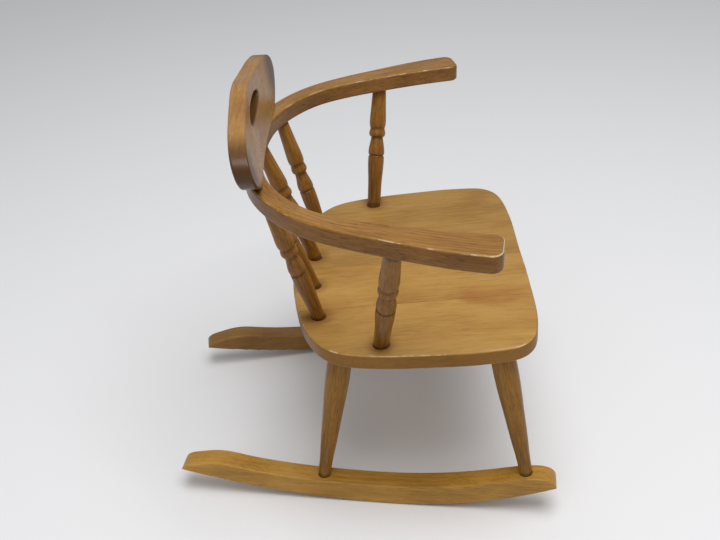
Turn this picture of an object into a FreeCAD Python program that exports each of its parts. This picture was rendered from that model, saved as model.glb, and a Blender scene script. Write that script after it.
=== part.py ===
import FreeCAD, Part
import math
import os

# Child's low rocking chair with a bent arm bow, in millimetres.
# X runs across the chair, plus to the sitter's left. Y runs back from the front edge of
# the seat, until the finished chair is centred. Z runs up from the floor.

# Seat: edge-glued boards with a rounded outline, sloping down a little to the back
seat_width = 389.5
seat_depth = 293.0
seat_thickness = 19.6
seat_height = 246.0
seat_slope = 2.2
seat_edge_round = 3.2
seat_joint_shares = (-0.45, 0.03, 0.46)
# half outline from the middle of the front edge to the middle of the back edge:
# share of the half width, share of the depth
seat_outline_shares = (
    (0.0, 0.0),
    (0.34, 0.0),
    (0.60, 0.004),
    (0.785, 0.019),
    (0.905, 0.050),
    (0.968, 0.101),
    (0.992, 0.180),
    (1.0, 0.270),
    (0.992, 0.430),
    (0.974, 0.600),
    (0.945, 0.718),
    (0.886, 0.822),
    (0.777, 0.892),
    (0.605, 0.944),
    (0.380, 0.977),
    (0.180, 0.995),
    (0.0, 1.0),
)

# Arm bow: one bent rail, narrow round the back and widening to the arm tips
arm_span = 503.0
arm_tip_y = 62.5
arm_back_y = 325.2
arm_height = 414.5
arm_rise = 0.2
arm_thickness = 21.0
arm_back_width = 22.6
arm_tip_width = 44.5
arm_edge_round = 3.0
arm_corner_round = 12.0
# centre line of the left half from the middle of the back to the arm tip:
# share of the half span, share of the reach forward, share of the widening
arm_line_shares = (
    (0.0, 0.0, 0.0),
    (0.2068, 0.0126, 0.0),
    (0.3658, 0.0472, 0.0),
    (0.5535, 0.1408, 0.05),
    (0.6954, 0.2676, 0.10),
    (0.7674, 0.3776, 0.20),
    (0.8608, 0.5775, 0.43),
    (0.9407, 0.7830, 0.745),
    (1.0, 1.0, 1.0),
)

# Crest rail: a gently curved board standing on the back of the bow, with a hand-hole
crest_width = 325.2
crest_rise = 76.0
crest_thickness = 19.0
crest_lean = 10.4
crest_bend_radius = 1470.0
crest_front_y = 309.5
crest_edge_round = 2.2
# half outline from the bottom middle to the top middle; what lies below zero is cut away
# level with the bow: share of the half width, share of the rise
crest_outline_shares = (
    (0.0, -0.289),
    (0.3075, -0.243),
    (0.5228, -0.105),
    (0.6642, 0.0),
    (0.7442, 0.066),
    (0.8241, 0.151),
    (0.8979, 0.250),
    (0.9563, 0.362),
    (0.9902, 0.4605),
    (1.0, 0.566),
    (0.9877, 0.6645),
    (0.9563, 0.727),
    (0.9041, 0.781),
    (0.7872, 0.836),
    (0.6642, 0.872),
    (0.5228, 0.895),
    (0.3690, 0.925),
    (0.2153, 0.9605),
    (0.0923, 0.9934),
    (0.0, 1.0),
)
hand_hole_width = 92.0
hand_hole_height = 19.0
hand_hole_rise = 49.0
hand_hole_edge_round = 1.8

# Turned spindles and arm posts, all of one pattern, the posts a little stouter
spindle_diameter = 21.2
post_diameter = 22.6
spindle_seat_depth = 14.0
spindle_arm_depth = 12.0
post_foot_x = 165.5
post_foot_y = 185.0
post_top_inset = 31.0
post_top_y = 169.3
outer_spindle_foot_x = 101.5
outer_spindle_foot_y = 257.5
inner_spindle_foot_x = 34.0
inner_spindle_foot_y = 264.5
# where the spindles end in the bow: share of its half length from the middle of the back
outer_spindle_top_share = 0.300
inner_spindle_top_share = 0.1017
# how far the ring and the groove sit off their usual place on each hand-turned back
# spindle, from the sitter's left to right, as shares of the exposed length
ring_shift_shares = (-0.030, -0.012, 0.0, 0.012)
# outlines of the turnings as smooth runs that meet at creases:
# share of the exposed length from the seat, share of the largest diameter
spindle_profile_shares = (
    ((0.0, 0.74), (0.035, 0.74)),
    ((0.035, 0.74), (0.12, 0.79), (0.22, 0.88), (0.30, 0.945), (0.37, 0.965), (0.416, 0.955)),
    ((0.416, 0.955), (0.426, 0.86), (0.436, 0.955)),
    ((0.436, 0.955), (0.475, 0.965), (0.51, 0.88), (0.545, 0.775), (0.572, 0.735)),
    ((0.572, 0.735), (0.582, 0.735)),
    ((0.582, 0.735), (0.592, 0.91), (0.610, 0.985), (0.632, 0.94), (0.655, 0.86)),
    ((0.655, 0.86), (0.67, 0.95), (0.70, 1.0), (0.78, 0.935), (0.90, 0.825), (0.965, 0.765)),
    ((0.965, 0.765), (1.0, 0.765)),
)
post_profile_shares = (
    ((0.0, 0.81), (0.035, 0.81)),
    ((0.035, 0.81), (0.14, 0.83), (0.24, 0.88), (0.32, 0.955), (0.38, 0.98), (0.416, 0.97)),
    ((0.416, 0.97), (0.426, 0.87), (0.436, 0.965)),
    ((0.436, 0.965), (0.465, 0.985), (0.50, 0.925), (0.545, 0.80), (0.572, 0.735)),
    ((0.572, 0.735), (0.582, 0.735)),
    ((0.582, 0.735), (0.592, 0.92), (0.610, 1.0), (0.632, 0.955), (0.655, 0.87)),
    ((0.655, 0.87), (0.675, 0.955), (0.725, 1.0), (0.80, 0.945), (0.90, 0.87), (0.965, 0.83)),
    ((0.965, 0.83), (1.0, 0.83)),
)

# Legs: plain round tapers, thick in the seat and thin in the rockers
leg_diameter = 29.5
leg_seat_depth = 14.0
leg_rocker_depth = 14.0
rear_leg_top_x = 131.0
rear_leg_top_y = 230.7
front_leg_top_x = 157.0
front_leg_top_y = 48.3
rear_leg_foot_y = 264.0
front_leg_foot_y = 17.0
# share of the exposed length from the rocker, share of the largest diameter
leg_profile_shares = (
    ((0.0, 0.53), (0.035, 0.53)),
    ((0.035, 0.53), (0.13, 0.575), (0.28, 0.70), (0.485, 0.83), (0.69, 0.975), (0.82, 1.0), (0.955, 0.985)),
    ((0.955, 0.985), (1.0, 0.985)),
)

# Rockers: sawn boards on edge, nearer together at the back, curved more tightly in front
rocker_thickness = 27.0
rocker_depth = 28.0
rocker_front_radius = 500.0
rocker_back_radius = 1000.0
rocker_back_reach = 265.5
rocker_front_reach = 203.5
rocker_touch_y = 181.9
rocker_touch_x = 167.3
rocker_toe = 8.6
rocker_edge_round = 2.5
# top edge from the back tip to the front tip: share of the reach from the touching
# point (plus to the back), share of the depth above the rolling edge
rocker_top_shares = (
    (1.0, 0.0),
    (0.990, 0.16),
    (0.965, 0.36),
    (0.925, 0.55),
    (0.870, 0.78),
    (0.805, 0.95),
    (0.700, 0.97),
    (0.500, 0.97),
    (0.250, 1.02),
    (0.0, 1.06),
    (-0.35, 1.08),
    (-0.65, 1.06),
    (-0.82, 0.95),
    (-0.89, 0.81),
    (-0.945, 0.60),
    (-0.982, 0.33),
    (-1.0, 0.0),
)

# Crest dowels: hidden pins between the bow and the crest rail
dowel_diameter = 8.0
dowel_bow_depth = 11.0
dowel_crest_depth = 16.0
dowel_spacing = 80.0

# Fits
socket_clearance = 0.15
socket_end_gap = 0.5
socket_mouth_ease = 1.2
overrun = 60.0

up = FreeCAD.Vector(0, 0, 1)
across = FreeCAD.Vector(1, 0, 0)
backward = FreeCAD.Vector(0, 1, 0)


def seat_top(y):
    return seat_height - math.tan(math.radians(seat_slope)) * y


def seat_under(y):
    return seat_top(y) - seat_thickness / math.cos(math.radians(seat_slope))


def arm_top(y):
    return arm_height + math.tan(math.radians(arm_rise)) * (y - arm_tip_y)


def arm_under(y):
    return arm_top(y) - arm_thickness / math.cos(math.radians(arm_rise))


def spline(points):
    curve = Part.BSplineCurve()
    curve.interpolate(points)
    return curve


def smooth_face(points):
    curve = Part.BSplineCurve()
    curve.interpolate(Points=points, PeriodicFlag=True)
    return Part.Face(Part.Wire([curve.toShape()]))


def tilted(shape, angle, y, z):
    turned_shape = shape.copy()
    turned_shape.rotate(FreeCAD.Vector(0, y, z), across, angle)
    return turned_shape


def mirrored(shape):
    return shape.mirror(FreeCAD.Vector(0, 0, 0), across)


def rod(profile_shares, diameter, start, end, start_depth, end_depth):
    # round turning from start to end, its ends running on into their sockets
    length = start.distanceToPoint(end)
    radius = diameter / 2
    start_radius = radius * profile_shares[0][0][1]
    end_radius = radius * profile_shares[-1][-1][1]
    edges = []
    for run in profile_shares:
        points = [FreeCAD.Vector(radius * d, 0, length * h) for h, d in run]
        if len(points) > 2:
            edges.append(spline(points).toShape())
        else:
            edges.append(Part.makeLine(points[0], points[-1]))
    low = FreeCAD.Vector(0, 0, -start_depth)
    low_rim = FreeCAD.Vector(start_radius, 0, -start_depth)
    high = FreeCAD.Vector(0, 0, length + end_depth)
    high_rim = FreeCAD.Vector(end_radius, 0, length + end_depth)
    edges.insert(0, Part.makeLine(low_rim, FreeCAD.Vector(start_radius, 0, 0)))
    edges.insert(0, Part.makeLine(low, low_rim))
    edges.append(Part.makeLine(FreeCAD.Vector(end_radius, 0, length), high_rim))
    edges.append(Part.makeLine(high_rim, high))
    edges.append(Part.makeLine(high, low))
    section = Part.Face(Part.Wire(edges))
    shape = section.revolve(FreeCAD.Vector(0, 0, 0), up, 360)
    shape.Placement = FreeCAD.Placement(start, FreeCAD.Rotation(up, end - start))
    return Part.Solid(shape) if shape.ShapeType == "Shell" else shape


def socket(point, inward, depth, diameter):
    # blind round hole through the surface at point, open outwards
    inward = FreeCAD.Vector(inward).normalize()
    mouth = point - inward * overrun
    return Part.makeCylinder(diameter / 2 + socket_clearance, overrun + depth, mouth, inward)


def socket_mouth(point, diameter):
    # flare round the mouth of a socket in the seat, at 45 degrees and square to the seat
    narrow = diameter / 2 - socket_mouth_ease
    wide = diameter / 2 + socket_clearance + 2 * socket_mouth_ease
    seat_normal = FreeCAD.Rotation(across, -seat_slope).multVec(up)
    base = point - seat_normal * (socket_clearance + 2 * socket_mouth_ease)
    return Part.makeCone(narrow, wide, wide - narrow, base, seat_normal)


def round_edges(shape, radius, wanted):
    edges = [edge for edge in shape.Edges if wanted(edge)]
    return shape.makeFillet(radius, edges)


# Places where the turned pieces meet the seat, the bow and the rockers
def seat_point(x, y):
    return FreeCAD.Vector(x, y, seat_top(y))


def seat_under_point(x, y):
    return FreeCAD.Vector(x, y, seat_under(y))


def arm_under_point(x, y):
    return FreeCAD.Vector(x, y, arm_under(y))


# Rocker board, standing along Y with its rolling edge touching the floor at the origin
def rolling_height(s):
    radius = rocker_back_radius if s > 0 else rocker_front_radius
    return radius - math.sqrt(radius ** 2 - s ** 2)


def rocker_top_point(share, depth_share):
    reach = rocker_back_reach if share > 0 else rocker_front_reach
    s = share * reach
    return FreeCAD.Vector(0, s, rolling_height(s) + rocker_depth * depth_share)


rocker_top_line = spline([rocker_top_point(*shares) for shares in rocker_top_shares])
rocker_back_tip = rocker_top_point(*rocker_top_shares[0])
rocker_front_tip = rocker_top_point(*rocker_top_shares[-1])

def rolling_arc(tip):
    middle = FreeCAD.Vector(0, tip.y / 2, rolling_height(tip.y / 2))
    return Part.Arc(tip, middle, FreeCAD.Vector(0, 0, 0)).toShape()


rocker_outline = Part.Wire([
    rolling_arc(rocker_front_tip),
    rolling_arc(rocker_back_tip),
    rocker_top_line.toShape(),
])
rocker_face = Part.Face(rocker_outline)
rocker_board = rocker_face.extrude(across * rocker_thickness)
rocker_board.translate(across * (-rocker_thickness / 2))
rocker_board = round_edges(
    rocker_board, rocker_edge_round, lambda edge: edge.Length > rocker_front_reach
)


def rocker_top_height(s):
    # height of the top edge at a distance s behind the touching point
    low, high = rocker_top_line.FirstParameter, rocker_top_line.LastParameter
    for step in range(60):
        middle = (low + high) / 2
        if rocker_top_line.value(middle).y > s:
            low = middle
        else:
            high = middle
    return rocker_top_line.value(low).z


def rocker_point(y):
    # middle of the left rocker's top edge at a distance y behind the seat's front edge
    toe = math.radians(rocker_toe)
    s = (y - rocker_touch_y) / math.cos(toe)
    x = rocker_touch_x - math.tan(toe) * (y - rocker_touch_y)
    return FreeCAD.Vector(x, y, rocker_top_height(s))


# Centre line of the arm bow
arm_half_span = arm_span / 2
arm_reach = arm_back_y - arm_tip_y


def arm_line_point(share_x, share_y):
    return FreeCAD.Vector(arm_half_span * share_x, arm_back_y - arm_reach * share_y, 0)


arm_stations = [arm_line_point(a, b) for a, b, w in arm_line_shares]
arm_widths = [arm_back_width + (arm_tip_width - arm_back_width) * w for a, b, w in arm_line_shares]
arm_line = spline([FreeCAD.Vector(-p.x, p.y, 0) for p in reversed(arm_stations[1:])] + arm_stations)
arm_line_edge = arm_line.toShape()


def arm_line_place(share):
    # place on the left half of the centre line, by share of its length from the back's middle
    distance = arm_line_edge.Length * (1 + share) / 2
    return arm_line_edge.valueAt(arm_line_edge.getParameterByLength(distance))


# Turned pieces of the left side
def shifted_turning(shift):
    # the spindle outline with its middle moved along, its two ends staying where they are
    runs = []
    for run in spindle_profile_shares:
        runs.append([(h + shift * math.sin(math.pi * h), d) for h, d in run])
    return runs


def turned_spindle(profile_shares, diameter, foot, top):
    return rod(
        profile_shares, diameter, foot, top,
        spindle_seat_depth - socket_end_gap, spindle_arm_depth - socket_end_gap,
    )


def spindle_sockets(profile_shares, diameter, foot, top):
    # what the spindle's ends take out of the seat and out of the bow
    foot_diameter = diameter * profile_shares[0][0][1]
    top_diameter = diameter * profile_shares[-1][-1][1]
    foot_socket = socket(foot, foot - top, spindle_seat_depth, foot_diameter)
    foot_socket = foot_socket.fuse(socket_mouth(foot, foot_diameter))
    return foot_socket, socket(top, top - foot, spindle_arm_depth, top_diameter)


def spindle_top(foot, share):
    # where a spindle enters the bow from below, so that it crosses the bow's centre line
    # halfway up its socket
    aim = arm_line_place(share)
    aim.z = arm_under(aim.y) + spindle_arm_depth / 2
    axis = aim - foot
    fall = math.tan(math.radians(arm_rise))
    return foot + axis * ((arm_under(foot.y) - foot.z) / (axis.z - fall * axis.y))


def leg(top_x, top_y, foot_y):
    foot = rocker_point(foot_y)
    top = seat_under_point(top_x, top_y)
    shape = rod(
        leg_profile_shares, leg_diameter, foot, top,
        leg_rocker_depth - socket_end_gap, leg_seat_depth - socket_end_gap,
    )
    end_shares = leg_profile_shares[0][0][1], leg_profile_shares[-1][-1][1]
    foot_socket = socket(foot, foot - top, leg_rocker_depth, leg_diameter * end_shares[0])
    top_socket = socket(top, top - foot, leg_seat_depth, leg_diameter * end_shares[1])
    return shape, foot_socket, top_socket


post_foot = seat_point(post_foot_x, post_foot_y)
post_top = arm_under_point(arm_span / 2 - post_top_inset, post_top_y)
outer_foot = seat_point(outer_spindle_foot_x, outer_spindle_foot_y)
outer_top = spindle_top(outer_foot, outer_spindle_top_share)
inner_foot = seat_point(inner_spindle_foot_x, inner_spindle_foot_y)
inner_top = spindle_top(inner_foot, inner_spindle_top_share)

post = turned_spindle(post_profile_shares, post_diameter, post_foot, post_top)
post_seat_socket, post_arm_socket = spindle_sockets(
    post_profile_shares, post_diameter, post_foot, post_top
)
outer_seat_socket, outer_arm_socket = spindle_sockets(
    spindle_profile_shares, spindle_diameter, outer_foot, outer_top
)
inner_seat_socket, inner_arm_socket = spindle_sockets(
    spindle_profile_shares, spindle_diameter, inner_foot, inner_top
)
back_feet = outer_foot, inner_foot, inner_foot, outer_foot
back_tops = outer_top, inner_top, inner_top, outer_top
back_spindles = [
    turned_spindle(shifted_turning(shift), spindle_diameter, foot, top)
    for shift, foot, top in zip(ring_shift_shares, back_feet, back_tops)
]
print("tops", outer_top, inner_top, post_top, "feet", outer_foot, inner_foot, post_foot)
front_leg, front_rocker_socket, front_seat_socket = leg(
    front_leg_top_x, front_leg_top_y, front_leg_foot_y
)
rear_leg, rear_rocker_socket, rear_seat_socket = leg(
    rear_leg_top_x, rear_leg_top_y, rear_leg_foot_y
)

# Rockers
left_rocker = rocker_board.copy()
left_rocker.rotate(FreeCAD.Vector(0, 0, 0), up, rocker_toe)
left_rocker.translate(FreeCAD.Vector(rocker_touch_x, rocker_touch_y, 0))
left_rocker = left_rocker.cut([front_rocker_socket, rear_rocker_socket])

# Seat blank, then its boards
half_width = seat_width / 2
left_points = [FreeCAD.Vector(half_width * a, seat_depth * b, 0) for a, b in seat_outline_shares]
right_points = [FreeCAD.Vector(-p.x, p.y, 0) for p in reversed(left_points[1:-1])]
seat_blank = smooth_face(left_points + right_points).extrude(up * (-seat_thickness))
seat_blank = round_edges(seat_blank, seat_edge_round, lambda edge: edge.Length > seat_width)
seat_blank = tilted(seat_blank, -seat_slope, 0, 0)
seat_blank.translate(up * seat_height)
seat_sockets = [post_seat_socket, outer_seat_socket, inner_seat_socket]
seat_sockets += [front_seat_socket, rear_seat_socket]
seat_blank = seat_blank.cut(seat_sockets + [mirrored(cutter) for cutter in seat_sockets])

seat_joints = [half_width * share for share in seat_joint_shares]
board_edges = [-half_width - overrun] + seat_joints + [half_width + overrun]
seat_boards = []
for low_x, high_x in zip(board_edges, board_edges[1:]):
    slab = Part.makeBox(
        high_x - low_x, seat_depth + 2 * overrun, 2 * seat_height,
        FreeCAD.Vector(low_x, -overrun, 0),
    )
    seat_boards.append(seat_blank.common(slab))

# Arm bow
def arm_side_points(side):
    # points of the left half on the outer (+1) or inner (-1) side of the centre line
    points = []
    for station, width in zip(arm_stations, arm_widths):
        along = arm_line.tangent(arm_line.parameter(station))[0]
        outward = FreeCAD.Vector(-along.y, along.x, 0).normalize()
        points.append(station + outward * (side * width / 2))
    return points


def whole_side(points):
    return [FreeCAD.Vector(-p.x, p.y, 0) for p in reversed(points[1:])] + points


outer_points = whole_side(arm_side_points(1))
inner_points = whole_side(arm_side_points(-1))
arm_outline = Part.Wire([
    spline(outer_points).toShape(),
    Part.makeLine(outer_points[-1], inner_points[-1]),
    spline(list(reversed(inner_points))).toShape(),
    Part.makeLine(inner_points[0], outer_points[0]),
])
arm_blank = Part.Face(arm_outline).extrude(up * (-arm_thickness))
arm_blank = round_edges(
    arm_blank, arm_corner_round,
    lambda edge: abs(edge.tangentAt(edge.FirstParameter).z) > 0.9,
)
arm_blank = round_edges(
    arm_blank, arm_edge_round,
    lambda edge: edge.BoundBox.ZLength < arm_thickness / 2,
)
arm_blank.translate(up * arm_height)
arm_blank = tilted(arm_blank, arm_rise, arm_tip_y, arm_height)
arm_sockets = [post_arm_socket, outer_arm_socket, inner_arm_socket]
arm_sockets += [mirrored(cutter) for cutter in arm_sockets]

# Crest rail, bent in plan, leaning back and cut level with the top of the bow
crest_half_width = crest_width / 2
crest_foot_z = arm_top(crest_front_y)
crest_left = [
    FreeCAD.Vector(crest_half_width * a, 0, crest_rise * b) for a, b in crest_outline_shares
]
crest_right = [FreeCAD.Vector(-p.x, 0, p.z) for p in reversed(crest_left[1:-1])]
crest_blank = smooth_face(crest_left + crest_right).extrude(backward * (4 * overrun))
crest_blank.translate(backward * (-2 * overrun))
bend_centre = FreeCAD.Vector(0, -crest_bend_radius, -overrun)
bend_height = crest_rise + 2 * overrun
outer_bend = Part.makeCylinder(crest_bend_radius + crest_thickness, bend_height, bend_centre)
inner_bend = Part.makeCylinder(crest_bend_radius, bend_height, bend_centre)
crest_board = crest_blank.common(tilted(outer_bend, -crest_lean, 0, 0))
crest_board = crest_board.cut(tilted(inner_bend, -crest_lean, 0, 0))

hole_half_width = hand_hole_width / 2
hole_half_height = hand_hole_height / 2
hand_hole_ellipse = Part.Ellipse(
    FreeCAD.Vector(hole_half_width, 0, hand_hole_rise),
    FreeCAD.Vector(0, 0, hand_hole_rise + hole_half_height),
    FreeCAD.Vector(0, 0, hand_hole_rise),
)
hand_hole = Part.Face(Part.Wire([hand_hole_ellipse.toShape()])).extrude(backward * (4 * overrun))
hand_hole.translate(backward * (-2 * overrun))
crest_board = crest_board.cut(hand_hole)
crest_board = round_edges(
    crest_board, hand_hole_edge_round,
    lambda edge: hand_hole_width < edge.Length and edge.BoundBox.XLength < crest_half_width,
)
crest_board = round_edges(
    crest_board, crest_edge_round,
    lambda edge: edge.BoundBox.XLength > crest_half_width,
)
crest_board.translate(FreeCAD.Vector(0, crest_front_y, crest_foot_z))
below_crest = Part.makeBox(
    crest_width + 2 * overrun, arm_reach + 2 * overrun, arm_height,
    FreeCAD.Vector(-crest_half_width - overrun, arm_tip_y, 0),
)
below_crest = tilted(below_crest, arm_rise, arm_tip_y, arm_height)
crest_board = crest_board.cut(below_crest)

# Upright dowels between the bow and the crest rail, halfway between their middles
dowels = []
dowel_holes = []
for place in (-1, 0, 1):
    x = dowel_spacing * place
    sag = crest_bend_radius - math.sqrt(crest_bend_radius ** 2 - x ** 2)
    crest_middle_y = crest_front_y - sag + crest_thickness / 2
    bow_middle = arm_line.value(arm_line.parameter(FreeCAD.Vector(x, crest_middle_y, 0)))
    y = (crest_middle_y + bow_middle.y) / 2
    base = FreeCAD.Vector(x, y, arm_top(y) - dowel_bow_depth + socket_end_gap)
    length = dowel_bow_depth + dowel_crest_depth - 2 * socket_end_gap
    dowels.append(Part.makeCylinder(dowel_diameter / 2, length, base))
    dowel_holes.append(Part.makeCylinder(
        dowel_diameter / 2 + socket_clearance, length + 2 * socket_end_gap,
        base - up * socket_end_gap,
    ))
    print("dowel", x, y, "crest", crest_middle_y, "bow", bow_middle)
crest_board = crest_board.cut(dowel_holes)
arm_bow = arm_blank.cut(arm_sockets + dowel_holes)

# The finished chair, piece by piece
pieces = {
    "arm_bow": arm_bow,
    "crest_rail": crest_board,
    "arm_post_left": post,
    "arm_post_right": mirrored(post),
    "back_spindle_1": back_spindles[0],
    "back_spindle_2": back_spindles[1],
    "back_spindle_3": mirrored(back_spindles[2]),
    "back_spindle_4": mirrored(back_spindles[3]),
    "leg_front_left": front_leg,
    "leg_front_right": mirrored(front_leg),
    "leg_rear_left": rear_leg,
    "leg_rear_right": mirrored(rear_leg),
    "rocker_left": left_rocker,
    "rocker_right": mirrored(left_rocker),
}
for number, board in enumerate(seat_boards, 1):
    pieces[f"seat_board_{number}"] = board
for number, dowel in enumerate(dowels, 1):
    pieces[f"crest_dowel_{number}"] = dowel

# Centre the chair front to back over its origin
whole = Part.makeCompound(list(pieces.values())).optimalBoundingBox(True, False)
to_middle = backward * (-(whole.YMin + whole.YMax) / 2)
os.makedirs("parts", exist_ok=True)
total_volume = 0
total_moment = FreeCAD.Vector(0, 0, 0)
for name, shape in pieces.items():
    solids = shape.Solids
    if len(solids) != 1 or not shape.isValid():
        print("check", name, len(solids), shape.isValid())
    piece = solids[0].copy()
    piece.translate(to_middle)
    total_volume += piece.Volume
    total_moment += piece.CenterOfMass * piece.Volume
    piece.exportStep(f"parts/{name}.step")
balance = total_moment * (1 / total_volume)
print("balance point", balance, "touching line", rocker_touch_y + to_middle.y)
print("shift", to_middle.y, "size", whole.XLength, whole.YLength, whole.ZLength)
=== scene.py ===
import math

import bpy
from mathutils import Matrix, Vector

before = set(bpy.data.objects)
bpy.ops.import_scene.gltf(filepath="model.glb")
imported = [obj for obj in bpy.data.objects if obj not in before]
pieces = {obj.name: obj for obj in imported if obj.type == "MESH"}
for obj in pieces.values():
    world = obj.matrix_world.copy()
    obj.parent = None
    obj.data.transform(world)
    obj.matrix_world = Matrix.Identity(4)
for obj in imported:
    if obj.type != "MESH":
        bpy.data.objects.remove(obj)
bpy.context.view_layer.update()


def stain(red, green, blue):
    """A colour from 0 to 255, as the eye sees it, in the light values that a shader takes."""
    values = []
    for seen in (red, green, blue):
        part = seen / 255
        values.append(part / 12.92 if part <= 0.04045 else ((part + 0.055) / 1.055) ** 2.4)
    return (*values, 1.0)


# Camera: from the chair's right-hand side, looking down on it
camera_place = Vector((-1.0344, -0.02365, 0.8922))
camera_aim = Vector((0.84382691, 0.01489151, -0.53640879))
camera_right = Vector((-0.0133037, -0.99872708, -0.04865426))
film_width = 36
focal_length = 47.756
nearest_view = 0.05

# Plain pale floor and soft studio light
floor_size = 40
floor_colour = stain(231, 231, 232)
floor_dullness = 0.85
floor_gloss = 0.2
room_light_colour = (0.97, 0.98, 1.0, 1.0)
room_light_strength = 0.40
lamps = (
    {"name": "ceiling_panel", "place": (-0.5, -0.3, 2.5), "aim": (0, 0, 0.2), "size": 1.7, "power": 50},
    {"name": "side_panel", "place": (-1.9, 0.9, 1.7), "aim": (0, 0, 0.3), "size": 1.2, "power": 4},
)

# Stains: dark, middle and light tone of each wood
honey_tones = stain(138, 96, 40), stain(170, 129, 65), stain(188, 148, 82)
# the far seat boards: the same honey stain, darker as painted shade
shaded_honey_tones = stain(124, 86, 36), stain(157, 119, 58), stain(174, 137, 74)
bow_tones = stain(92, 58, 20), stain(140, 98, 44), stain(168, 127, 68)
crest_tones = stain(98, 62, 26), stain(150, 108, 56), stain(178, 138, 84)
turned_tones = stain(74, 42, 8), stain(126, 82, 24), stain(160, 112, 42)
leg_tones = stain(80, 49, 10), stain(130, 88, 24), stain(160, 115, 42)
rocker_tones = stain(120, 82, 28), stain(170, 125, 50), stain(193, 149, 72)
# the far rocker: the same stain as the near one, darker as painted shade
shaded_rocker_tones = stain(88, 58, 24), stain(128, 92, 42), stain(150, 112, 58)
dowel_tones = stain(170, 136, 92), stain(206, 172, 124), stain(222, 192, 148)

# Marks of use and age, and colours of painted shade
rubbed_pale = stain(222, 200, 164)
# the dark of the glue lines, the darker lines in the grooves, and the painted shade at the ends of the
# turned pieces
groove_brown = stain(46, 28, 12)
glue_red = stain(146, 88, 36)
# painted shade round the feet of the posts and spindles on the seat
foot_shade_brown = stain(104, 62, 24)
# painted shade on the crest rail: under it, low on its ends and inside its hand-hole
crest_shade_brown = stain(70, 42, 16)
# painted shade, laid over the upright faces and end grain
side_shade = stain(198, 178, 118)

# How strongly each wood shows its fibres, streaks, blotches, growth rings and pores, the gap
# between its rings in metres, how soft the change from its dark to its light tone is, and how
# dull its lacquer is
seat_wood = {
    "fibres": 0.50, "streaks": 0.14, "blotches": 0.50, "rings": 0.02,
    "ring_gap": 0.011, "pores": 0.2, "softness": 0.34, "dullness": 0.40,
}
bow_wood = {
    "fibres": 0.75, "streaks": 0.40, "blotches": 0.45, "rings": 0.08,
    "ring_gap": 0.006, "pores": 0.6, "softness": 0.50, "dullness": 0.36,
}
crest_wood = {
    "fibres": 0.40, "streaks": 0.16, "blotches": 0.40, "rings": 0.04,
    "ring_gap": 0.008, "pores": 0.3, "softness": 0.40, "dullness": 0.30,
}
turned_wood = {
    "fibres": 0.70, "streaks": 0.45, "blotches": 0.55, "rings": 0.0,
    "ring_gap": 0.005, "pores": 0.45, "softness": 0.42, "dullness": 0.34,
}
rocker_wood = {
    "fibres": 0.50, "streaks": 0.25, "blotches": 0.70, "rings": 0.05,
    "ring_gap": 0.007, "pores": 0.35, "softness": 0.42, "dullness": 0.38,
}
dowel_wood = {
    "fibres": 0.50, "streaks": 0.50, "blotches": 0.30, "rings": 0.10,
    "ring_gap": 0.003, "pores": 0.2, "softness": 0.42, "dullness": 0.60,
}

# How often each cloud pattern repeats in a metre: along the grain, and across it
fibre_repeats = 34.0, 640.0
streak_repeats = 7.0, 150.0
blotch_repeats = 11.0, 21.0
pore_repeats = 75.0, 1500.0
glue_cloud_repeats = 12.0, 30.0
# and those that run every way alike
smudges_a_metre = 22.0
worn_patches_a_metre = 30.0
chips_a_metre = 90.0
# the ring pattern is drawn out along the grain, and at scale 1 its rings are this far apart
ring_stretch = 0.22, 1.0
plain_ring_gap = 0.314
ring_waviness = 7.0
ring_detail = 2.0
ring_detail_spread = 0.35
# a cloud pattern runs from about 0.3 to 0.7, so a mark starts to show at its first value
# here and shows in full at its second
pore_marks = 0.56, 0.68
glue_cloud_marks = 0.46, 0.66
chip_marks = 0.52, 0.62
wear_marks = 0.60, 0.72
smudge_marks = 0.3, 0.7

# Satin lacquer
lacquer_gloss = 0.24
lacquer_coat = 0.06
lacquer_coat_dullness = 0.25
dullness_smudged_away = 0.06
dullness_added = 0.08
dullness_where_worn = 0.2
grain_depth = 0.0006
grain_strength = 0.16

# Where a surface counts as a rounded edge, an upright face, an end or an underside: how far it
# faces up, forwards or down where that starts to show, and where it shows in full
edge_from_side = 0.50, 0.64
edge_from_top = 0.92, 0.80
upright_face = 0.75, 0.30
front_end = 0.80, 0.95
underside = 0.25, 0.60

# Strength of the marks and of the painted shade, from 0 to 1, and how far the wear covers the rounded
# edges
seat_wear, seat_wear_cover = 0.5, 0.12
bow_wear, bow_wear_cover = 0.6, 0.13
rocker_wear, rocker_wear_cover = 0.4, 0.0
least_arm_wear = 0.4
chip_strength = 0.5
# painted shade on the upright faces of the seat and the arm bow
seat_side_strength = 1.0
bow_side_strength = 0.55
# painted shade round the feet of the posts and spindles
foot_shade_strength = 0.45
glue_line_strength, glue_line_extra = 0.2, 0.25
# painted shade under the crest rail, low on its ends and inside its hand-hole
underside_strength = 0.9
dark_end_strength = 0.92
hole_strength = 0.85

# Seat: places of its glue lines, the slope it stands at, and where each board's grain starts
seat_joints = (-0.0876, 0.0058, 0.0896)
joint_strengths = (0.6, 0.2, 0.2)
seat_slope = math.tan(math.radians(2.2))
board_hearts = ((-0.19, -0.35, 0.12), (-0.03, -0.3, 0.02), (0.09, -0.4, 0.08), (0.2, -0.3, 0.14))
# boards up to this number take the honey tones, the far ones the painted shade tones
near_boards = 2
glue_stain_reach = 0.030
glue_line_width = 0.0009
glue_line_core = 0.0002
# painted shade round the feet: how far it reaches, and where it is full
foot_shade_reach = 0.024
foot_shade_core = 0.008

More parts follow.
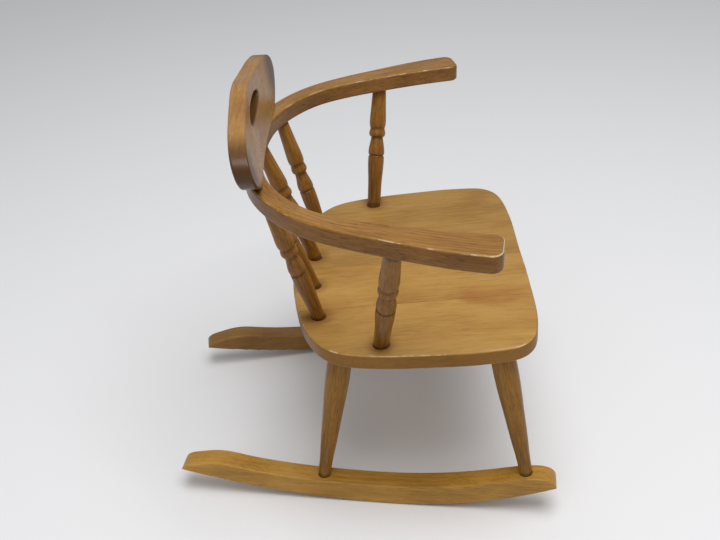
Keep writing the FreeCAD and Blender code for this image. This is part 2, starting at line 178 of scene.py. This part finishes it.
# Arm bow: its line seen from above, in degrees round from the back and metres from a centre
bow_centre = (0, -0.037, 0.4)
bow_line = (
    (0, 0.1498), (19.5, 0.1555), (33.8, 0.1654), (51.0, 0.1792), (65.6, 0.1921),
    (75.3, 0.1995), (90.5, 0.2165), (103.3, 0.2431), (114.2, 0.2757),
)
bow_longest_reach = 0.4
bow_mean_reach = 0.2
arm_wear_starts = 0.06
arm_wear_full = -0.10
tip_wear_starts = -0.140
tip_wear_full = -0.155

# Crest rail: its hand-hole, and the part of its ends that gets painted shade
crest_heart = (0.0, 0.30, 0.40)
hole_height = 0.4644
hole_half_width = 0.046
hole_half_height = 0.0095
hole_rim = 1.16, 1.0
dark_end_top, dark_end_bottom = 0.500, 0.466
dark_end_inner, dark_end_outer = 0.100, 0.146
dowel_hearts = ((0.1, 0.3, 0.4), (0.1, 0.3, 0.5), (0.1, 0.3, 0.6))

# Turned pieces of the left side: foot and top, on the faces they enter
spots = {
    "arm_post": ((0.1655, -0.0276, 0.2389), (0.2205, -0.0433, 0.3939)),
    "outer": ((0.1015, 0.0450, 0.2361), (0.1170, 0.0875, 0.3943)),
    "inner": ((0.0340, 0.0520, 0.2358), (0.0408, 0.1085, 0.3944)),
    "leg_front": ((0.1922, -0.1956, 0.0552), (0.1570, -0.1643, 0.2245)),
    "leg_rear": ((0.1549, 0.0515, 0.0317), (0.1310, 0.0182, 0.2175)),
}
# darker lines in their grooves: share of the way up, half width of the line, strength
spindle_grooves = ((0.426, 0.024, 0.34), (0.577, 0.026, 0.28), (0.655, 0.022, 0.34))
# painted shade at both ends, where the pieces meet the seat, the arm bow or the rockers: share, half
# width, strength
spindle_end_shade = ((0.0, 0.035, 0.6), (1.0, 0.045, 0.6))
leg_end_shade = ((0.0, 0.03, 0.5), (1.0, 0.04, 0.5))
line_core = 0.3
# how far the rings of the back spindles sit above or below those of the posts, left to right
ring_shifts = (-0.030, -0.012, 0.0, 0.012)

# Rockers: turned outwards in front, and where their grain starts on the left side
rocker_toe = math.radians(8.6)
rocker_heart = (0.19, -0.2, -0.05)


def set_up_camera():
    looking = camera_aim.normalized()
    upwards = camera_right.cross(looking).normalized()
    sideways = looking.cross(upwards)
    lens = bpy.data.cameras.new("chair_side_view")
    lens.sensor_width = film_width
    lens.lens = focal_length
    lens.clip_start = nearest_view
    camera = bpy.data.objects.new("chair_side_view", lens)
    turn = Matrix((sideways, upwards, -looking)).transposed().to_4x4()
    camera.matrix_world = Matrix.Translation(camera_place) @ turn
    bpy.context.scene.collection.objects.link(camera)
    bpy.context.scene.camera = camera


def soft_lamp(name, place, aim, size, power):
    lamp = bpy.data.lights.new(name, "AREA")
    lamp.shape = "SQUARE"
    lamp.size = size
    lamp.energy = power
    holder = bpy.data.objects.new(name, lamp)
    holder.location = place
    holder.rotation_euler = (Vector(aim) - Vector(place)).to_track_quat("-Z", "Y").to_euler()
    bpy.context.scene.collection.objects.link(holder)


def set_up_studio():
    bpy.context.scene.view_settings.view_transform = "Standard"
    bpy.ops.mesh.primitive_plane_add(size=floor_size, location=(0, 0, 0))
    floor = bpy.context.active_object
    floor.name = "pale_floor"
    paint = bpy.data.materials.new("pale_floor_paint")
    paint.use_nodes = True
    shader = paint.node_tree.nodes["Principled BSDF"]
    shader.inputs["Base Color"].default_value = floor_colour
    shader.inputs["Roughness"].default_value = floor_dullness
    shader.inputs["Specular IOR Level"].default_value = floor_gloss
    floor.data.materials.append(paint)

    world = bpy.data.worlds.new("soft_room_light")
    world.use_nodes = True
    room_light = world.node_tree.nodes["Background"]
    room_light.inputs["Color"].default_value = room_light_colour
    room_light.inputs["Strength"].default_value = room_light_strength
    bpy.context.scene.world = world
    for lamp in lamps:
        soft_lamp(**lamp)


class Finish:
    """One stained and lacquered wood finish, mixed for one piece of the chair."""

    def __init__(self, name):
        self.material = bpy.data.materials.new(name)
        self.material.use_nodes = True
        self.tree = self.material.node_tree
        self.shader = self.tree.nodes["Principled BSDF"]
        self.places = self.node("ShaderNodeTexCoord").outputs["Object"]
        self.normals = self.node("ShaderNodeTexCoord").outputs["Normal"]

    def node(self, kind, **settings):
        made = self.tree.nodes.new(kind)
        for setting, value in settings.items():
            setattr(made, setting, value)
        return made

    def feed(self, source, socket):
        """Links a socket to another one, or sets it to a plain value."""
        if isinstance(source, bpy.types.NodeSocket):
            self.tree.links.new(source, socket)
        else:
            socket.default_value = source

    def work_out(self, operation, first, second=0.0):
        step = self.node("ShaderNodeMath", operation=operation)
        self.feed(first, step.inputs[0])
        self.feed(second, step.inputs[1])
        return step.outputs[0]

    def times(self, first, second):
        return self.work_out("MULTIPLY", first, second)

    def gap_between(self, first, second):
        return self.work_out("ABSOLUTE", self.work_out("SUBTRACT", first, second))

    def ramp_up(self, value, start, end, low=0.0, high=1.0):
        step = self.node("ShaderNodeMapRange", interpolation_type="SMOOTHSTEP")
        for source, socket in zip((value, start, end, low, high), step.inputs):
            self.feed(source, socket)
        return step.outputs[0]

    def coat_over(self, amount, under, over, how="MIX"):
        step = self.node("ShaderNodeMix", data_type="RGBA", blend_type=how)
        self.feed(amount, step.inputs["Factor"])
        self.feed(under, step.inputs["A"])
        self.feed(over, step.inputs["B"])
        return step.outputs["Result"]

    def on_vector(self, operation, vector, other=None):
        step = self.node("ShaderNodeVectorMath", operation=operation)
        self.feed(vector, step.inputs[0])
        if other is not None:
            self.feed(other, step.inputs[1])
        plain_number = operation in ("DISTANCE", "LENGTH", "DOT_PRODUCT")
        return step.outputs["Value" if plain_number else "Vector"]

    def split_up(self, vector):
        step = self.node("ShaderNodeSeparateXYZ")
        self.feed(vector, step.inputs[0])
        return step.outputs["X"], step.outputs["Y"], step.outputs["Z"]

    def put_together(self, first, second, third=0.0):
        step = self.node("ShaderNodeCombineXYZ")
        for source, socket in zip((first, second, third), step.inputs):
            self.feed(source, socket)
        return step.outputs["Vector"]

    def stretched(self, vector, along, across):
        step = self.node("ShaderNodeMapping")
        self.feed(vector, step.inputs["Vector"])
        step.inputs["Scale"].default_value = (along, across, across)
        return step.outputs["Vector"]

    def cloudy(self, vector, scale=1.0, detail=3.0, roughness=0.5):
        step = self.node("ShaderNodeTexNoise")
        self.feed(vector, step.inputs["Vector"])
        step.inputs["Scale"].default_value = scale
        step.inputs["Detail"].default_value = detail
        step.inputs["Roughness"].default_value = roughness
        return step.outputs["Fac"]

    def laid_along(self, start, direction):
        """Places measured from start, with the first number running along the grain."""
        step = self.node("ShaderNodeMapping", vector_type="TEXTURE")
        self.feed(self.places, step.inputs["Vector"])
        step.inputs["Location"].default_value = start
        turn = Vector((1, 0, 0)).rotation_difference(Vector(direction).normalized())
        step.inputs["Rotation"].default_value = turn.to_euler()
        return step.outputs["Vector"]

    def facing(self, direction):
        """How far the surface faces one way, from -1 to 1."""
        return self.on_vector("DOT_PRODUCT", self.normals, Vector(direction).normalized())


def wood_grain(finish, grain, tones, wood):
    """Stained wood: its colour, and the fine relief of its fibres and open pores."""
    dark, middle, light = tones
    rings = finish.node("ShaderNodeTexWave", bands_direction="Y")
    finish.feed(finish.stretched(grain, *ring_stretch), rings.inputs["Vector"])
    rings.inputs["Scale"].default_value = plain_ring_gap / wood["ring_gap"]
    rings.inputs["Distortion"].default_value = ring_waviness
    rings.inputs["Detail"].default_value = ring_detail
    rings.inputs["Detail Scale"].default_value = ring_detail_spread
    fibres = finish.cloudy(finish.stretched(grain, *fibre_repeats), detail=4.0, roughness=0.62)
    streaks = finish.cloudy(finish.stretched(grain, *streak_repeats), detail=4.0, roughness=0.6)
    blotches = finish.cloudy(finish.stretched(grain, *blotch_repeats), roughness=0.45)
    pores = finish.cloudy(finish.stretched(grain, *pore_repeats), detail=2.0)
    pores = finish.times(finish.ramp_up(pores, *pore_marks), wood["pores"])

    layers = {
        "fibres": fibres, "streaks": streaks, "blotches": blotches, "rings": rings.outputs["Fac"],
    }
    tone = 0.0
    for name, layer in layers.items():
        tone = finish.work_out("ADD", tone, finish.times(layer, wood[name]))
    middle_tone = sum(wood[name] for name in layers) / 2
    tone = finish.ramp_up(tone, middle_tone - wood["softness"], middle_tone + wood["softness"])
    stops = finish.node("ShaderNodeValToRGB")
    finish.feed(tone, stops.inputs["Fac"])
    stops.color_ramp.elements[0].color = dark
    stops.color_ramp.elements[1].color = light
    stops.color_ramp.elements.new(0.5).color = middle
    colour = finish.coat_over(pores, stops.outputs["Color"], dark, "MULTIPLY")
    return colour, finish.work_out("SUBTRACT", fibres, pores)


def lacquer(finish, colour, relief, wood, wear=None):
    """Satin lacquer over the stained wood, rubbed off where the piece is worn."""
    shader = finish.shader
    finish.feed(colour, shader.inputs["Base Color"])
    smudges = finish.cloudy(finish.places, smudges_a_metre)
    dullest = wood["dullness"] + dullness_added
    glossiest = wood["dullness"] - dullness_smudged_away
    rough = finish.ramp_up(smudges, *smudge_marks, glossiest, dullest)
    if wear is not None:
        rough = finish.work_out("ADD", rough, finish.times(wear, dullness_where_worn))
    finish.feed(rough, shader.inputs["Roughness"])
    shader.inputs["Specular IOR Level"].default_value = lacquer_gloss
    shader.inputs["Coat Weight"].default_value = lacquer_coat
    shader.inputs["Coat Roughness"].default_value = lacquer_coat_dullness
    bump = finish.node("ShaderNodeBump")
    bump.inputs["Strength"].default_value = grain_strength
    bump.inputs["Distance"].default_value = grain_depth
    finish.feed(relief, bump.inputs["Height"])
    finish.feed(bump.outputs["Normal"], shader.inputs["Normal"])


def edge_wear(finish, facing, cover):
    """Where a rounded edge is rubbed pale, broken up as hands and cloths wear it."""
    on_edge = finish.times(
        finish.ramp_up(facing, *edge_from_side), finish.ramp_up(facing, *edge_from_top)
    )
    patches = finish.cloudy(finish.places, worn_patches_a_metre, detail=4.0, roughness=0.62)
    start, full = (mark - cover for mark in wear_marks)
    return finish.times(on_edge, finish.ramp_up(patches, start, full))


def shade_upright_faces(finish, colour, up, strength):
    """Upright faces and end grain, darkened as painted shade."""
    upright = finish.ramp_up(finish.work_out("ABSOLUTE", up), *upright_face, high=strength)
    return finish.coat_over(upright, colour, side_shade, "MULTIPLY")


def dress(name, finish):
    piece = pieces[name]
    piece.data.materials.clear()
    piece.data.materials.append(finish.material)


def other_side(points):
    return [(-x, y, z) for x, y, z in points]


def glue_lines(finish, colour, grain):
    """Uneven reddish stain beside the glue lines, then the thin lines themselves."""
    across = finish.split_up(finish.places)[0]
    cloud = finish.cloudy(finish.stretched(grain, *glue_cloud_repeats), roughness=0.6)
    patchy = finish.ramp_up(cloud, *glue_cloud_marks)
    for joint, strength in zip(seat_joints, joint_strengths):
        gap = finish.gap_between(across, joint)
        beside = finish.ramp_up(gap, glue_stain_reach, 0.0, high=strength)
        colour = finish.coat_over(finish.times(beside, patchy), colour, glue_red)
        depth = glue_line_strength + glue_line_extra * strength
        line = finish.ramp_up(gap, glue_line_width, glue_line_core, high=depth)
        colour = finish.coat_over(line, colour, groove_brown)
    return colour


def shade_round_feet(finish, colour):
    """Painted shade round the feet of the posts and spindles, where they enter the seat."""
    left_feet = [spots[name][0] for name in ("arm_post", "outer", "inner")]
    for foot in other_side(left_feet) + left_feet:
        spread = finish.on_vector("DISTANCE", finish.places, foot)
        foot_shade = finish.ramp_up(spread, foot_shade_reach, foot_shade_core, high=foot_shade_strength)
        colour = finish.coat_over(foot_shade, colour, foot_shade_brown)
    return colour


def dress_seat():
    for number, heart in enumerate(board_hearts, 1):
        finish = Finish(f"honey_seat_board_{number}")
        grain = finish.laid_along(heart, (0, 1, -seat_slope))
        # the far boards take the darker tones of painted shade
        tones = honey_tones if number <= near_boards else shaded_honey_tones
        colour, relief = wood_grain(finish, grain, tones, seat_wood)
        colour = glue_lines(finish, colour, grain)
        # painted shade round the feet of the posts and spindles
        colour = shade_round_feet(finish, colour)
        up = finish.facing((0, seat_slope, 1))
        # painted shade on the upright faces
        colour = shade_upright_faces(finish, colour, up, seat_side_strength)
        worn = edge_wear(finish, up, seat_wear_cover)
        colour = finish.coat_over(finish.times(worn, seat_wear), colour, rubbed_pale)
        lacquer(finish, colour, relief, seat_wood, worn)
        dress(f"seat_board_{number}", finish)


def grain_round_the_bow(finish):
    """Places on the bow: along its bent line, out from that line, and up."""
    across, back, height = finish.split_up(finish.on_vector("SUBTRACT", finish.places, bow_centre))
    angle = finish.work_out("ARCTAN2", across, back)
    reach = finish.work_out(
        "SQRT",
        finish.work_out(
            "ADD", finish.work_out("POWER", across, 2.0), finish.work_out("POWER", back, 2.0)
        ),
    )
    line = finish.node("ShaderNodeFloatCurve")
    half_turns = finish.work_out("DIVIDE", finish.work_out("ABSOLUTE", angle), math.pi)
    finish.feed(half_turns, line.inputs["Value"])
    curve = line.mapping.curves[0]
    shares = [(degrees / 180, distance / bow_longest_reach) for degrees, distance in bow_line]
    curve.points[0].location = shares[0]
    curve.points[1].location = (1.0, 1.0)
    for share in shares[1:]:
        curve.points.new(*share)
    line.mapping.update()
    off_line = finish.work_out(
        "SUBTRACT", reach, finish.times(line.outputs["Value"], bow_longest_reach)
    )
    return finish.put_together(finish.times(angle, bow_mean_reach), off_line, height)


def dress_arm_bow():
    finish = Finish("brown_arm_bow")
    grain = grain_round_the_bow(finish)
    colour, relief = wood_grain(finish, grain, bow_tones, bow_wood)
    up = finish.facing((0, 0, 1))
    # painted shade on the upright faces
    colour = shade_upright_faces(finish, colour, up, bow_side_strength)
    # edges rubbed most towards the front of the arms, and chipped end grain at the tips
    along = finish.split_up(finish.places)[1]
    handled = finish.ramp_up(along, arm_wear_starts, arm_wear_full, low=least_arm_wear)
    worn = finish.times(edge_wear(finish, up, bow_wear_cover), handled)
    end_grain = finish.ramp_up(finish.facing((0, -1, 0)), *front_end)
    chips = finish.cloudy(finish.places, chips_a_metre, detail=4.0, roughness=0.6)
    chipped = finish.times(end_grain, finish.ramp_up(chips, *chip_marks, high=chip_strength))
    chipped = finish.times(chipped, finish.ramp_up(along, tip_wear_starts, tip_wear_full))
    worn = finish.work_out("MAXIMUM", worn, chipped)
    colour = finish.coat_over(finish.times(worn, bow_wear), colour, rubbed_pale)
    lacquer(finish, colour, relief, bow_wood, worn)
    dress("arm_bow", finish)


def dress_crest_rail():
    finish = Finish("brown_crest_rail")
    grain = finish.laid_along(crest_heart, (1, 0, 0))
    colour, relief = wood_grain(finish, grain, crest_tones, crest_wood)
    # painted shade underneath, low on the ends and inside the hand-hole
    across, _, height = finish.split_up(finish.places)
    under = finish.ramp_up(finish.facing((0, 0, -1)), *underside, high=underside_strength)
    low = finish.ramp_up(height, dark_end_top, dark_end_bottom, high=dark_end_strength)
    outer = finish.ramp_up(finish.work_out("ABSOLUTE", across), dark_end_inner, dark_end_outer)
    from_hole = finish.on_vector(
        "LENGTH",
        finish.put_together(
            finish.work_out("DIVIDE", across, hole_half_width),
            finish.work_out(
                "DIVIDE", finish.work_out("SUBTRACT", height, hole_height), hole_half_height
            ),
        ),
    )
    inside = finish.ramp_up(from_hole, *hole_rim, high=hole_strength)
    crest_shade = finish.work_out("MAXIMUM", under, finish.times(low, outer))
    crest_shade = finish.work_out("MAXIMUM", crest_shade, inside)
    colour = finish.coat_over(crest_shade, colour, crest_shade_brown)
    lacquer(finish, colour, relief, crest_wood)
    dress("crest_rail", finish)


def dress_crest_dowels():
    for number, heart in enumerate(dowel_hearts, 1):
        finish = Finish(f"bare_dowel_{number}")
        grain = finish.laid_along(heart, (0, 0, 1))
        colour, relief = wood_grain(finish, grain, dowel_tones, dowel_wood)
        lacquer(finish, colour, relief, dowel_wood)
        dress(f"crest_dowel_{number}", finish)


def dress_turned(name, foot, top, grooves, tones):
    """A turned piece, grain along its own axis, darker lines in its grooves and painted shade at its
    ends.
    """
    finish = Finish(f"turned_{name}")
    axis = Vector(top) - Vector(foot)
    grain = finish.laid_along(foot, axis)
    colour, relief = wood_grain(finish, grain, tones, turned_wood)
    share = finish.work_out("DIVIDE", finish.split_up(grain)[0], axis.length)
    # darker lines in the grooves, and painted shade at the ends
    for place, half_width, strength in grooves:
        off = finish.gap_between(share, place)
        line = finish.ramp_up(off, half_width, half_width * line_core, high=strength)
        colour = finish.coat_over(line, colour, groove_brown)
    lacquer(finish, colour, relief, turned_wood)
    dress(name, finish)


def dress_posts_and_spindles():
    for side, points in (("left", spots["arm_post"]), ("right", other_side(spots["arm_post"]))):
        dress_turned(f"arm_post_{side}", *points, spindle_grooves + spindle_end_shade, turned_tones)
    spindles = (spots["outer"], spots["inner"], other_side(spots["inner"]), other_side(spots["outer"]))
    for number, (points, shift) in enumerate(zip(spindles, ring_shifts), 1):
        grooves = tuple(
            (place + shift * math.sin(math.pi * place), half_width, strength)
            for place, half_width, strength in spindle_grooves
        )
        dress_turned(f"back_spindle_{number}", *points, grooves + spindle_end_shade, turned_tones)


def dress_legs():
    for place in ("front", "rear"):
        points = spots[f"leg_{place}"]
        dress_turned(f"leg_{place}_left", *points, leg_end_shade, leg_tones)
        dress_turned(f"leg_{place}_right", *other_side(points), leg_end_shade, leg_tones)


def dress_rockers():
    turned_in, straight = math.sin(rocker_toe), math.cos(rocker_toe)
    heart_across, heart_along, heart_height = rocker_heart
    # the far, left rocker takes the darker tones of painted shade
    for side, sign, tones in (("left", 1, shaded_rocker_tones), ("right", -1, rocker_tones)):
        finish = Finish(f"honey_rocker_{side}")
        heart = (sign * heart_across, heart_along, heart_height)
        grain = finish.laid_along(heart, (-sign * turned_in, straight, 0))
        colour, relief = wood_grain(finish, grain, tones, rocker_wood)
        outwards = finish.facing((sign * straight, turned_in, 0))
        worn = edge_wear(finish, finish.work_out("ABSOLUTE", outwards), rocker_wear_cover)
        colour = finish.coat_over(finish.times(worn, rocker_wear), colour, rubbed_pale)
        lacquer(finish, colour, relief, rocker_wood, worn)
        dress(f"rocker_{side}", finish)


set_up_camera()
set_up_studio()
dress_seat()
dress_arm_bow()
dress_crest_rail()
dress_crest_dowels()
dress_posts_and_spindles()
dress_legs()
dress_rockers()
